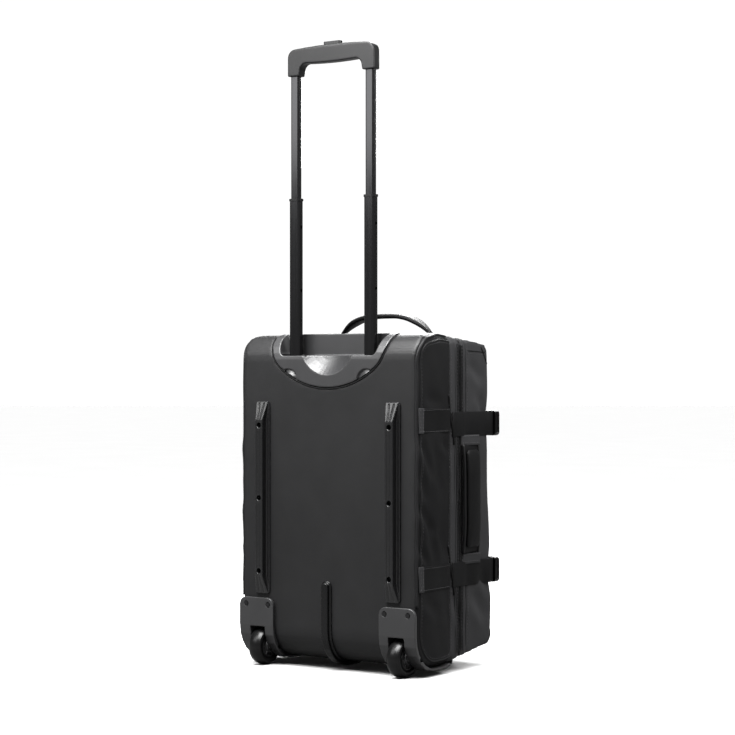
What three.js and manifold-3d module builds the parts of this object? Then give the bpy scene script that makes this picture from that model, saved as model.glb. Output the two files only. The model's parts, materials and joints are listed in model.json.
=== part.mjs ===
// Rolling duffel bag with a telescopic trolley, two wheels and a clamshell lid.
// Millimetres, +Z up. The lid faces -Y and the back panel with the trolley faces +Y.
// The bag stands on its two wheels and two front feet, and the trolley is drawn fully out.
import * as THREE from 'three';
import { mergeVertices } from 'three/addons/utils/BufferGeometryUtils.js';
import Module from 'manifold-3d';

const wasm = await Module();
wasm.setup();

// ---- Driving dimensions ----
// Y is measured from the back panel, which the whole group then carries to BACK_Y.
const BACK_Y = 103;
const GAP = 0.3; // clearance between neighbours

const WIDTH = 325;
const HEIGHT = 510;
const BOTTOM = 12.5;
const CREST = { y: -65, z: 515 }; // highest line of the top panel
const FRONT = { low: -209, lowZ: 38, high: -203, highZ: 497 };
const BELLY_Y = -75; // where the flat bottom starts to rise towards the front toe
const ROUNDING = { backLow: 50, backHigh: 38, crest: 200, frontLow: 26, frontHigh: 20, belly: 60 };
const CORNERS = { low: 14, high: 18, front: 20, back: 7 };
const SPLIT_Y = -118; // plane of the main zip
const SPLIT_GAP = 0.8;
const WALL = 5;
const PAST = { side: 200, front: -300, back: 20, low: -10, high: 600 }; // planes clear of the bag

const WHEEL_X = 129.3;
const WHEEL_Y = -13;
const WHEEL_R = 29;
const WHEEL_W = 24;
const HUB_R = 17;
const AXLE = { r: 4, half: 19.5 };
const WINDOW = { w: 28, r: 31.5, front: -44.5, top: 60.5 };

const TUBE_X = 70;
const TUBE_Y = -16;
const SLEEVE = { w: 25, d: 17, r: 5, wall: 1.1, bottom: 96, top: 451.5 };
const MIDDLE = { w: 20, d: 12, r: 4, wall: 1.1, bottom: 422, top: 719 };
const UPPER = { w: 16, d: 9, r: 3, wall: 1, bottom: 660, top: 935 };
const COLLAR = { w: 22, d: 14, r: 5, top: 722.8 };
const BRACKET = { half: 88, d: 17, bottom: 84 };
const TUBE_HOLE = { grow: 1, low: 90, high: 470 };
const LOCK_HOLE = { r: 2.6, heights: [679, 581] };
const ROD = { r: 1.8, bottom: 668, top: 940 };
const RELEASE_BAR = { half: 72, d: 5, bottom: 940.3, top: 944.3, room: 947 };

const TRAY = {
  half: 120, proud: 1.5, depth: 36, back: 3, wall: 4, underside: 400, floor: 455, over: 520,
};
const TRAY_EDGE = {
  chin: 391, chinR: 140, cheek: 97, cheekZ: 470.5, cheekR: 38, neck: 107, neckZ: 495, neckR: 30,
  top: 112, topZ: 540,
};
const RECESS = { half: 88, lip: 480.5, r: 8, topHalf: 104 };
const LEG_POCKET = { inner: 57, back: -31, front: -1.5, top: 490, relief: { inner: 41, floor: 467 } };
const SCOOP = { r: 51.2, z: 501.7, depth: 20 };
const NOTCH = { x: 73, z: 443.2, r: 17, depth: 5 };

const GRIP = {
  inner: 59.3, outer: 80.8, depth: 17, legs: 911, under: 930, top: 952, crown: 957.5, round: 7, lean: 3,
};
const BUTTON = { w: 31, d: 10, r: 3, top: 960, foot: 944.6, shoulder: 949.5, stem: { half: 8, d: 5 } };

const RAIL_X = 121.5;
const RAIL = {
  base: 27, foot: 24, ridge: 14.5, height: 13, flange: 2.5, toe: 4, bend: 10, corner: 4,
  bottom: 112, top: 410, low: 139, high: 381,
};
const RAIL_SCREW_Z = [147.5, 260.5, 373];

const HOUSING = {
  inner: 98.9, outer: 164, proud: 6, corner: 12, top: 105.5, wrap: -30, shelf: 66, depth: 52, half: 20,
};
const SKIRT = { proud: 4, front: -93, bottom: -5, top: 40 };
const HOUSING_SCREW_X = [109, 151];
const HOUSING_SCREW_Z = 95;
const SEAT = { rail: 3.2, housing: 4.1 }; // where the screw heads sit, out from the back panel
const SHANK = { r: 2, hole: 2.3, end: -9 };
const HEAD = { r: 3.6, hole: 4.1, t: 2.3 };
const BOARD = { half: 154, bottom: 74, top: 418, r: 10, back: -WALL - 0.4, t: 1.8 };

const RUNNER = { base: 19, ridge: 12.6, proud: 8, lip: 2.5, top: 138, end: -102 };

const STRAP_Z = [148, 376];
const STRAP = { h: 38, t: 2.2, x: 164, start: -97, end: -209.7 };
const HINGE_STRAP_START = -129;
const BUCKLE = {
  back: -210, t: 12, maleH: 39, femaleH: 44, outer: 172, joint: 142, inner: 98, noseX: 16, noseZ: 6,
};
const PRONG = { reach: 20, from: 3.5, to: 8.5, h: 4, low: -15, high: 11 };
const SOCKET = { reach: 24, from: 2.5, to: 9.5, half: 17 };

const TOP_HANDLE = {
  y: -160, half: 96, w: 28, t: 7, lean: 2, foot: 504.6, top: 547, bend: 90, neck: 2.5, flare: 30,
};
const SIDE_HANDLE = { y: -145.5, w: 44, low: 177, high: 346, t: 4, foot: 3, rise: 5, ramp: 30, bend: 20 };
const FOOT = { x: 98, y: -183, r: 13, taper: 3, h: 60 };
const SLIDER_X = [-10, 24];
const SLIDER = { w: 14, y0: SPLIT_Y + 0.6, y1: SPLIT_Y + 8, t: 3.6, pull: 24, pullT: 1.4 };

// ---- Materials ----
const paint = (color, roughness, metalness = 0) =>
  new THREE.MeshStandardMaterial({ color, roughness, metalness });
const COATED_FABRIC = paint(0x34353a, 0.62);
const NYLON = paint(0x27282b, 0.9);
const WEBBING = paint(0x1b1b1d, 0.95);
const GREY_PLASTIC = paint(0x4c4e52, 0.45);
const BLACK_PLASTIC = paint(0x1e1f21, 0.4);
const BLACK_TUBE = paint(0x242528, 0.35, 0.7);
const STEEL = paint(0x8a8d90, 0.35, 0.9);
const RUBBER = paint(0x141415, 0.5);

// ---- Shapes ----

// A closed outline through corners [x, y, radius], each rounded by an arc of its radius.
function rounded(corners) {
  const shape = new THREE.Shape();
  corners.forEach(([x, y, r], i) => {
    const before = corners.at(i - 1);
    const after = corners[(i + 1) % corners.length];
    const corner = new THREE.Vector2(x, y);
    const back = new THREE.Vector2(before[0] - x, before[1] - y).normalize();
    const on = new THREE.Vector2(after[0] - x, after[1] - y).normalize();
    const goTo = (point) => (i === 0 ? shape.moveTo(point.x, point.y) : shape.lineTo(point.x, point.y));
    if (!r) {
      goTo(corner);
      return;
    }
    const half = Math.acos(THREE.MathUtils.clamp(back.dot(on), -1, 1)) / 2;
    const centre = back.clone().add(on).normalize().multiplyScalar(r / Math.sin(half)).add(corner);
    const start = back.clone().multiplyScalar(r / Math.tan(half)).add(corner).sub(centre);
    const end = on.clone().multiplyScalar(r / Math.tan(half)).add(corner).sub(centre);
    const clockwise = back.cross(on) > 0;
    goTo(centre.clone().add(start));
    shape.absarc(centre.x, centre.y, r, start.angle(), end.angle(), clockwise);
  });
  shape.closePath();
  return shape;
}

// The corners of a regular octagon of radius r about (x, y).
const octagon = (x, y, r) => Array.from({ length: 8 }, (_, i) => {
  const turn = (i * Math.PI) / 4;
  return [x + r * Math.cos(turn), y + r * Math.sin(turn), 0];
});

// A rectangle from low to high with all four corners rounded.
const rectangle = (x0, y0, x1, y1, r = 0) =>
  rounded([[x0, y0, r], [x1, y0, r], [x1, y1, r], [x0, y1, r]]);

// ---- Solids ----

// A three.js geometry as a solid that can be joined and cut.
function solid(geometry) {
  const bare = geometry.clone();
  bare.deleteAttribute('normal');
  bare.deleteAttribute('uv');
  const merged = mergeVertices(bare, 1e-4);
  return new wasm.Manifold(new wasm.Mesh({
    numProp: 3,
    vertProperties: merged.attributes.position.array,
    triVerts: new Uint32Array(merged.index.array),
  }));
}

// The geometry of a finished solid.
function geometryOf(body) {
  const made = body.getMesh();
  const geometry = new THREE.BufferGeometry();
  geometry.setAttribute('position', new THREE.BufferAttribute(made.vertProperties, 3));
  geometry.setIndex(new THREE.BufferAttribute(made.triVerts, 1));
  geometry.computeVertexNormals();
  return geometry;
}

const extruded = (shape, depth, steps) =>
  new THREE.ExtrudeGeometry(shape, { depth, bevelEnabled: false, curveSegments: steps });

// An outline drawn in (x, y), carried from z0 up to z1.
const alongZ = (shape, z0, z1, steps = 3) =>
  solid(extruded(shape, z1 - z0, steps).translate(0, 0, z0));

// An outline drawn in (x, z), carried from y0 to y1.
const alongY = (shape, y0, y1, steps = 3) =>
  solid(extruded(shape, y1 - y0, steps).rotateX(Math.PI / 2).translate(0, y1, 0));

// An outline drawn in (y, z), carried from x0 to x1.
function alongX(shape, x0, x1, steps = 3) {
  const turn = new THREE.Matrix4().makeBasis(
    new THREE.Vector3(0, 1, 0), new THREE.Vector3(0, 0, 1), new THREE.Vector3(1, 0, 0));
  return solid(extruded(shape, x1 - x0, steps).applyMatrix4(turn).translate(x0, 0, 0));
}

const box = (x0, y0, z0, x1, y1, z1) =>
  solid(new THREE.BoxGeometry(x1 - x0, y1 - y0, z1 - z0)
    .translate((x0 + x1) / 2, (y0 + y1) / 2, (z0 + z1) / 2));

// A round bar along Y, or a cone frustum where r1 differs, from y0 to y1.
const barY = (x, z, y0, y1, r0, r1 = r0, sides = 12) =>
  solid(new THREE.CylinderGeometry(r1, r0, y1 - y0, sides).translate(x, (y0 + y1) / 2, z));

// A round bar along X from x0 to x1.
const barX = (y, z, x0, x1, r, sides = 24) =>
  solid(new THREE.CylinderGeometry(r, r, x1 - x0, sides).rotateZ(-Math.PI / 2)
    .translate((x0 + x1) / 2, y, z));

const group = new THREE.Group();
group.position.y = BACK_Y;

function add(name, body, material) {
  const mesh = new THREE.Mesh(geometryOf(body), material);
  mesh.name = name;
  group.add(mesh);
}

// A box that lies the same way on the left (side 1) and on the right (side -1).
const sideBox = (side, x0, y0, z0, x1, y1, z1) =>
  side > 0 ? box(x0, y0, z0, x1, y1, z1) : box(-x1, y0, z0, -x0, y1, z1);

const SIDES = [['left', 1], ['right', -1]];

// ---- The soft body ----

// The side view of the bag in (y, z), moved in by t: flat back, domed top, raised front toe.
const sideView = (t) => rounded([
  [-t, BOTTOM + t, ROUNDING.backLow - t],
  [-t, HEIGHT - t, ROUNDING.backHigh - t],
  [CREST.y, CREST.z - t, ROUNDING.crest],
  [FRONT.high + t, FRONT.highZ - t, ROUNDING.frontHigh - t],
  [FRONT.low + t, FRONT.lowZ + t, ROUNDING.frontLow - t],
  [BELLY_Y, BOTTOM + t, ROUNDING.belly],
]);

// The height of the top panel at y, in front of its crest.
const topAt = (y) =>
  CREST.z + (y - CREST.y) * (FRONT.highZ - CREST.z) / (FRONT.high - CREST.y);

// The bag as one solid, moved in by t, with rounded vertical and top edges.
function bagBody(t) {
  const half = WIDTH / 2 - t;
  const length = alongX(sideView(t), -half, half);
  const back = rounded([
    [-half, BOTTOM + t, CORNERS.low - t],
    [half, BOTTOM + t, CORNERS.low - t],
    [half, CREST.z - t, CORNERS.high - t],
    [-half, CREST.z - t, CORNERS.high - t],
  ]);
  const plan = rounded([
    [-half, FRONT.low + t, CORNERS.front - t],
    [half, FRONT.low + t, CORNERS.front - t],
    [half, -t, CORNERS.back - t],
    [-half, -t, CORNERS.back - t],
  ]);
  return length.intersect(alongY(back, PAST.front, PAST.back)).intersect(alongZ(plan, PAST.low, PAST.high));
}

// A skin of the bag's side view, from GAP to proud outside the fabric, between x0 and x1.
const outerSkin = (proud, x0, x1) =>
  alongX(sideView(-proud), x0, x1).subtract(alongX(sideView(-GAP), x0 - 1, x1 + 1));

// The tray's outline in (x, z): cheeks up to the bag's top and a crescent below.
function trayOutline(t) {
  const { chin, chinR, cheek, cheekZ, cheekR, neck, neckZ, neckR, top, topZ } = TRAY_EDGE;
  return rounded([
    [-cheek - t, cheekZ, cheekR], [0, chin - 1.2 * t, chinR], [cheek + t, cheekZ, cheekR],
    [neck + t, neckZ, neckR], [top + t, topZ, 0], [-top - t, topZ, 0], [-neck - t, neckZ, neckR],
  ]);
}

// The block behind the wheel window, grown by t.
const wheelBlock = (side, t) => sideBox(side,
  WHEEL_X - HOUSING.half - t, -HOUSING.depth - t, 0,
  WHEEL_X + HOUSING.half + t, PAST.back, HOUSING.shelf + t);

// Every screw in the back panel: its node's name, its place and how far out its head sits.
const screwPlaces = () => SIDES.flatMap(([name, side]) => [
  ...RAIL_SCREW_Z.map((z, i) => (
    { name: `rail_screw_${name}_${i + 1}`, x: side * RAIL_X, z, head: SEAT.rail })),
  ...HOUSING_SCREW_X.map((x, i) => (
    { name: `housing_screw_${name}_${i + 1}`, x: side * x, z: HOUSING_SCREW_Z, head: SEAT.housing })),
]);
function rearShell() {
  let shell = bagBody(0);
  let hollow = bagBody(WALL);
  for (const [, side] of SIDES) {
    shell = shell.subtract(wheelBlock(side, GAP));
    hollow = hollow.subtract(wheelBlock(side, WALL - 1));
  }
  const trayRoom = alongY(trayOutline(GAP), -TRAY.depth - GAP, PAST.back, 6);
  const trayWall = alongY(trayOutline(TRAY.wall), -TRAY.depth - TRAY.wall, PAST.back, 6);
  shell = shell.subtract(trayRoom).subtract(hollow.subtract(trayWall));
  for (const [, side] of SIDES) {
    shell = shell.subtract(tubePassage(side, SLEEVE, TUBE_HOLE.grow, TUBE_HOLE.low, TUBE_HOLE.high));
  }
  for (const { x, z } of screwPlaces()) {
    shell = shell.subtract(barY(x, z, -WALL - 1, 1, SHANK.hole, SHANK.hole, 8));
  }
  return shell.intersect(
    box(-PAST.side, SPLIT_Y + SPLIT_GAP / 2, PAST.low, PAST.side, PAST.back, PAST.high));
}

function frontShell() {
  const shell = bagBody(0).subtract(bagBody(WALL));
  return shell.intersect(
    box(-PAST.side, PAST.front, PAST.low, PAST.side, SPLIT_Y - SPLIT_GAP / 2, PAST.high));
}

// ---- The trolley ----

const tubeOutline = (side, size, grow = 0) => rectangle(
  side * TUBE_X - size.w / 2 - grow, TUBE_Y - size.d / 2 - grow,
  side * TUBE_X + size.w / 2 + grow, TUBE_Y + size.d / 2 + grow, size.r + grow);

const tubePassage = (side, size, grow, z0, z1) => alongZ(tubeOutline(side, size, grow), z0, z1, 2);

const tube = (side, size) =>
  tubePassage(side, size, 0, size.bottom, size.top)
    .subtract(tubePassage(side, size, -size.wall, size.bottom - 1, size.top + 1));

// A round dish cut into the back face: r across at the face and depth deep.
function dish({ x = 0, z, r, depth }) {
  const ballR = (r * r + depth * depth) / (2 * depth);
  return solid(new THREE.SphereGeometry(ballR, 40, 24).translate(x, TRAY.proud + ballR - depth, z));
}

function trolleyTray() {
  const outside = alongX(sideView(-TRAY.proud), -TRAY.half, TRAY.half)
    .intersect(alongZ(rectangle(-TRAY.half, -TRAY.depth, TRAY.half, PAST.back), TRAY.underside, TRAY.over));
  let tray = alongY(trayOutline(0), -TRAY.depth, PAST.back, 6).intersect(outside);
  const recess = rounded([
    [-RECESS.half, RECESS.lip, RECESS.r], [RECESS.half, RECESS.lip, RECESS.r],
    [RECESS.topHalf, TRAY_EDGE.topZ, 0], [-RECESS.topHalf, TRAY_EDGE.topZ, 0]]);
  tray = tray.subtract(alongY(recess, -TRAY.depth + TRAY.back, PAST.back));
  for (const [, side] of SIDES) {
    const { inner, back, front, top, relief } = LEG_POCKET;
    tray = tray.subtract(sideBox(side, inner, back, TRAY.floor, RECESS.half, front, top));
    tray = tray.subtract(sideBox(side, relief.inner, back, relief.floor, inner, front, top));
    tray = tray.subtract(tubePassage(side, MIDDLE, 0.5, TRAY.underside, RECESS.lip));
    tray = tray.subtract(tubePassage(side, SLEEVE, GAP, TRAY.underside, SLEEVE.top + GAP));
    tray = tray.subtract(dish({ ...NOTCH, x: side * NOTCH.x }));
  }
  return tray.subtract(dish(SCOOP));
}

function middleTube(side) {
  const face = side * TUBE_X - MIDDLE.w / 2;
  const holes = LOCK_HOLE.heights.map((z) => barX(TUBE_Y, z, face - 2, face + 2, LOCK_HOLE.r, 10));
  return holes.reduce((body, hole) => body.subtract(hole), tube(side, MIDDLE));
}

const collar = (side) =>
  tubePassage(side, COLLAR, 0, MIDDLE.top + GAP, COLLAR.top)
    .subtract(tubePassage(side, UPPER, GAP, MIDDLE.top - 1, COLLAR.top + 1));

function grip() {
  const outline = rounded([
    [-GRIP.outer, GRIP.legs, 2], [-GRIP.outer, GRIP.top, 14], [0, GRIP.crown, 900],
    [GRIP.outer, GRIP.top, 14], [GRIP.outer, GRIP.legs, 2], [GRIP.inner, GRIP.legs, 2],
    [GRIP.inner - GRIP.lean, GRIP.under, 12], [GRIP.lean - GRIP.inner, GRIP.under, 12],
    [-GRIP.inner, GRIP.legs, 2],
  ]);
  const y0 = TUBE_Y - GRIP.depth / 2;
  const y1 = TUBE_Y + GRIP.depth / 2;
  let body = alongY(outline, y0, y1, 4)
    .intersect(alongX(rectangle(y0, GRIP.legs - 2 * GRIP.round, y1, GRIP.crown + 1, GRIP.round),
      -GRIP.outer - 1, GRIP.outer + 1, 4));
  for (const [, side] of SIDES) {
    body = body.subtract(tubePassage(side, UPPER, GAP, GRIP.legs - 1, UPPER.top + GAP));
  }
  const room = RELEASE_BAR.half + 2;
  const channel = box(-room, TUBE_Y - RELEASE_BAR.d / 2 - 1, UPPER.top - 1,
    room, TUBE_Y + RELEASE_BAR.d / 2 + 1, RELEASE_BAR.room);
  const mouth = box(-BUTTON.w / 2 - GAP, TUBE_Y - BUTTON.d / 2 - GAP, RELEASE_BAR.room - 1,
    BUTTON.w / 2 + GAP, TUBE_Y + BUTTON.d / 2 + GAP, BUTTON.top);
  return body.subtract(channel).subtract(mouth);
}

function gripButton() {
  const outline = rectangle(
    -BUTTON.w / 2, TUBE_Y - BUTTON.d / 2, BUTTON.w / 2, TUBE_Y + BUTTON.d / 2, BUTTON.r);
  const { half, d } = BUTTON.stem;
  return alongZ(outline, BUTTON.shoulder, BUTTON.top)
    .add(box(-half, TUBE_Y - d / 2, BUTTON.foot, half, TUBE_Y + d / 2, BUTTON.shoulder + 0.5));
}

const releaseBar = () => box(-RELEASE_BAR.half, TUBE_Y - RELEASE_BAR.d / 2, RELEASE_BAR.bottom,
  RELEASE_BAR.half, TUBE_Y + RELEASE_BAR.d / 2, RELEASE_BAR.top);

const pushRod = (side) =>
  alongZ(rounded(octagon(side * TUBE_X, TUBE_Y, ROD.r)), ROD.bottom, ROD.top);

// ---- Rails, housings, wheels and runner ----

function skidRail(side) {
  const x = side * RAIL_X;
  const base = alongY(rectangle(x - RAIL.base / 2, RAIL.bottom, x + RAIL.base / 2, RAIL.top, RAIL.corner),
    GAP, RAIL.flange);
  const wide = RAIL.foot / 2;
  const half = RAIL.ridge / 2;
  const hourglass = rounded([
    [x - wide, RAIL.bottom, 0], [x + wide, RAIL.bottom, 0], [x + half, RAIL.low, 0], [x + half, RAIL.high, 0],
    [x + wide, RAIL.top, 0], [x - wide, RAIL.top, 0], [x - half, RAIL.high, 0], [x - half, RAIL.low, 0],
  ]);
  const ramps = rounded([
    [GAP, RAIL.bottom, 0], [RAIL.toe, RAIL.bottom, 0], [RAIL.height, RAIL.low, RAIL.bend],
    [RAIL.height, RAIL.high, RAIL.bend], [RAIL.toe, RAIL.top, 0], [GAP, RAIL.top, 0],
  ]);
  let rail = base.add(alongY(hourglass, GAP, PAST.back)
    .intersect(alongX(ramps, x - RAIL.base, x + RAIL.base)));
  for (const z of RAIL_SCREW_Z) {
    rail = rail.subtract(barY(x, z, SEAT.rail - GAP, PAST.back, HEAD.hole));
    rail = rail.subtract(barY(x, z, -1, SEAT.rail, SHANK.hole, SHANK.hole, 8));
  }
  return rail;
}

function wheelHousing(side) {
  const [x0, x1] = side > 0 ? [HOUSING.inner, HOUSING.outer] : [-HOUSING.outer, -HOUSING.inner];
  const face = rounded([
    [x0, 0, 0], [x1, 0, 0], [x1, HOUSING.top, HOUSING.corner], [x0, HOUSING.top, HOUSING.corner]]);
  const plate = outerSkin(HOUSING.proud, x0, x1).intersect(alongY(face, HOUSING.wrap, PAST.back));
  const skirt = outerSkin(SKIRT.proud, x0, x1)
    .intersect(box(x0, SKIRT.front, SKIRT.bottom, x1, 0, SKIRT.top));
  const block = wheelBlock(side, 0).intersect(alongX(sideView(-1), -PAST.side, PAST.side));
  let housing = plate.add(skirt).add(block);
  const middle = side * WHEEL_X;
  const [left, right] = [middle - WINDOW.w / 2, middle + WINDOW.w / 2];
  const cuts = [
    barX(WHEEL_Y, WHEEL_R, left, right, WINDOW.r),
    box(left, WHEEL_Y, PAST.low, right, PAST.back, WINDOW.top),
    box(left, WINDOW.front, PAST.low, right, PAST.back, WHEEL_R),
    barX(WHEEL_Y, WHEEL_R, middle - 2 * HOUSING.half, middle + 2 * HOUSING.half, AXLE.r + GAP, 16),
  ];
  for (const cut of cuts) housing = housing.subtract(cut);
  for (const x of HOUSING_SCREW_X) {
    housing = housing.subtract(barY(side * x, HOUSING_SCREW_Z, SEAT.housing - GAP, PAST.back, HEAD.hole));
    housing = housing.subtract(
      barY(side * x, HOUSING_SCREW_Z, -1, SEAT.housing, SHANK.hole, SHANK.hole, 8));
  }
  return housing;
}

// A ring turned about the wheel's axle from a closed profile of [radius, x] points.
function turned(side, profile, sides = 32) {
  const points = profile.map(([r, x]) => new THREE.Vector2(r, x));
  const geometry = new THREE.LatheGeometry([...points, points[0]], sides).rotateZ(-Math.PI / 2);
  return solid(geometry.translate(side * WHEEL_X, WHEEL_Y, WHEEL_R));
}

// Half a profile of [radius, x], from the middle outwards, with its mirror image before it.
const bothSides = (half) => [
  ...half.toReversed().filter(([, x]) => x > 0).map(([r, x]) => [r, -x]), ...half];

const tyre = (side) => turned(side, bothSides([
  [WHEEL_R, 0], [WHEEL_R - 0.4, 7.5], [WHEEL_R - 2.5, WHEEL_W / 2 - 1], [22, WHEEL_W / 2],
  [HUB_R + GAP, WHEEL_W / 2 - 1],
]));

const hub = (side) => turned(side, bothSides([
  [HUB_R, 10], [HUB_R - 2, 8], [9, 8], [8, WHEEL_W / 2], [AXLE.r + GAP, WHEEL_W / 2],
]), 24);

const axle = (side) =>
  barX(WHEEL_Y, WHEEL_R, side * WHEEL_X - AXLE.half, side * WHEEL_X + AXLE.half, AXLE.r, 16);

// The runner: a strip up the back panel with a round top, and a ridge along it.
function bottomRunner() {
  const { base, ridge, proud, top } = RUNNER;
  const strip = (width, height, out) => outerSkin(out, -width / 2, width / 2)
    .intersect(alongY(rounded([
      [-width / 2, PAST.low, 0], [width / 2, PAST.low, 0],
      [width / 2, height, width / 2 - 0.1], [-width / 2, height, width / 2 - 0.1],
    ]), RUNNER.end, PAST.back, 4));
  return strip(base, top, RUNNER.lip).add(strip(ridge, top - (base - ridge) / 2, proud));
}

function screw({ x, z, head }) {
  const shank = barY(x, z, SHANK.end, head + 0.5, SHANK.r, SHANK.r, 8);
  return shank.add(barY(x, z, head, head + HEAD.t, HEAD.r));
}

const sleeveBracket = () => box(-BRACKET.half, TUBE_Y - BRACKET.d / 2, BRACKET.bottom,
  BRACKET.half, TUBE_Y + BRACKET.d / 2, SLEEVE.bottom - GAP);

function frameBoard() {
  const { half, bottom, top, r, back, t } = BOARD;
  let board = alongY(rectangle(-half, bottom, half, top, r), back - t, back);
  for (const { x, z } of screwPlaces()) {
    board = board.subtract(barY(x, z, SHANK.end, 0, SHANK.hole, SHANK.hole, 8));
  }
  return board;
}

// ---- Straps, buckles, handles, feet and sliders ----

const strap = (side, z, start) => sideBox(side,
  STRAP.x, STRAP.end, z - STRAP.h / 2, STRAP.x + STRAP.t, start, z + STRAP.h / 2);

// An outline turned over left to right.
const mirrored = (shape) =>
  new THREE.Shape(shape.getPoints(3).slice(0, -1).map(({ x, y }) => new THREE.Vector2(-x, y)).reverse());

function maleBuckle(side, z) {
  const y0 = BUCKLE.back - BUCKLE.t;
  const half = BUCKLE.maleH / 2;
  const x0 = BUCKLE.joint + GAP;
  const outline = rounded([
    [x0, z - half, 3], [BUCKLE.outer, z - half, 5], [BUCKLE.outer, z + half, 5], [x0, z + half, 3]]);
  let body = alongY(side > 0 ? outline : mirrored(outline), y0, BUCKLE.back);
  for (const foot of [z + PRONG.low, z + PRONG.high]) {
    body = body.add(sideBox(side,
      BUCKLE.joint - PRONG.reach, y0 + PRONG.from, foot, BUCKLE.joint + 2, y0 + PRONG.to, foot + PRONG.h));
  }
  return body;
}

function femaleBuckle(side, z) {
  const y0 = BUCKLE.back - BUCKLE.t;
  const half = BUCKLE.femaleH / 2;
  const { inner, joint, noseX, noseZ } = BUCKLE;
  const outline = rounded([
    [inner, z - half + noseZ, 4], [inner + noseX, z - half, 6], [joint, z - half, 2],
    [joint, z + half, 2], [inner + noseX, z + half, 6], [inner, z + half - noseZ, 4],
  ]);
  const body = alongY(side > 0 ? outline : mirrored(outline), y0, BUCKLE.back);
  return body.subtract(sideBox(side,
    joint - SOCKET.reach, y0 + SOCKET.from, z - SOCKET.half, joint + 5, y0 + SOCKET.to, z + SOCKET.half));
}

function topHandle() {
  const { y, half, w, t, lean, foot, top, bend, neck, flare } = TOP_HANDLE;
  const inner = half - t - lean;
  const innerBend = bend - t + 1;
  const arch = rounded([
    [-half, foot, 0], [-half / 2, top, bend], [half / 2, top, bend], [half, foot, 0],
    [inner, foot, 0], [half / 2 - lean, top - t, innerBend], [lean - half / 2, top - t, innerBend],
    [-inner, foot, 0],
  ]);
  const taper = rounded([
    [y - neck, foot, 0], [y + neck, foot, 0], [y + w / 2, foot + flare, 0], [y + w / 2, top + 1, 0],
    [y - w / 2, top + 1, 0], [y - w / 2, foot + flare, 0]]);
  return alongY(arch, y - w / 2, y + w / 2, 2).intersect(alongX(taper, -half - 1, half + 1));
}

function sideHandle() {
  const { y, w, low, high, t, foot: end, rise, ramp, bend } = SIDE_HANDLE;
  const x = -WIDTH / 2 - GAP;
  const bow = rounded([
    [x, low, 0], [x - end, low, 0], [x - rise - t, low + ramp, bend], [x - rise - t, high - ramp, bend],
    [x - end, high, 0], [x, high, 0], [x - rise, high - ramp, bend], [x - rise, low + ramp, bend]]);
  return alongY(bow, y - w / 2, y + w / 2, 2);
}

const foot = (side) =>
  solid(new THREE.CylinderGeometry(FOOT.r, FOOT.r - FOOT.taper, FOOT.h, 16).rotateX(Math.PI / 2)
    .translate(side * FOOT.x, FOOT.y, FOOT.h / 2)).subtract(bagBody(-GAP));

// A slider on the top edge of the rear half, with its pull lying along the zip.
function zipSlider(x) {
  const { w, y0, y1, t, pull, pullT } = SLIDER;
  const z = topAt(y1) + GAP;
  return box(x - w / 2, y0, z, x + w / 2, y1, z + t)
    .add(box(x - 2, y0 + 1, z + t - 1, x + pull, y1 - 1, z + t + pullT));
}

// ---- The assembly ----

add('rear_shell', rearShell(), COATED_FABRIC);
add('frame_board', frameBoard(), BLACK_PLASTIC);
add('trolley_tray', trolleyTray(), GREY_PLASTIC);
add('sleeve_bracket', sleeveBracket(), BLACK_PLASTIC);
add('bottom_runner', bottomRunner(), BLACK_PLASTIC);
for (const place of screwPlaces()) add(place.name, screw(place), STEEL);
for (const [name, side] of SIDES) {
  add(`sleeve_${name}`, tube(side, SLEEVE), STEEL);
  add(`middle_tube_${name}`, middleTube(side), BLACK_TUBE);
  add(`middle_collar_${name}`, collar(side), BLACK_PLASTIC);
  add(`upper_tube_${name}`, tube(side, UPPER), BLACK_TUBE);
  add(`push_rod_${name}`, pushRod(side), STEEL);
  add(`skid_rail_${name}`, skidRail(side), BLACK_PLASTIC);
  add(`wheel_housing_${name}`, wheelHousing(side), GREY_PLASTIC);
  add(`tyre_${name}`, tyre(side), RUBBER);
  add(`wheel_hub_${name}`, hub(side), GREY_PLASTIC);
  add(`axle_${name}`, axle(side), STEEL);
  add(`front_foot_${name}`, foot(side), BLACK_PLASTIC);
  STRAP_Z.forEach((z, i) => {
    const place = `${['lower', 'upper'][i]}_${name}`;
    const start = side > 0 ? HINGE_STRAP_START : STRAP.start;
    add(`strap_${place}`, strap(side, z, start), WEBBING);
    add(`buckle_male_${place}`, maleBuckle(side, z), BLACK_PLASTIC);
    add(`buckle_female_${place}`, femaleBuckle(side, z), BLACK_PLASTIC);
  });
}
add('grip', grip(), BLACK_PLASTIC);
add('grip_button', gripButton(), BLACK_PLASTIC);
add('release_bar', releaseBar(), STEEL);
add('front_shell', frontShell(), NYLON);
add('top_handle', topHandle(), WEBBING);
add('side_handle', sideHandle(), WEBBING);
SLIDER_X.forEach((x, i) => add(`zip_slider_${i + 1}`, zipSlider(x), STEEL));

export default group;
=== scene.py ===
"""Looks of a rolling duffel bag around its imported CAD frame, in metres.

The lid faces -Y, the back panel with the trolley faces +Y, and the seen side is -X.
Places on the bag are given in millimetres: x, the distance ahead of the back panel, and z.
"""
import json
import math

import bmesh
import bpy
import numpy as np
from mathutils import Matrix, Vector
from mathutils.bvhtree import BVHTree


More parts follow.
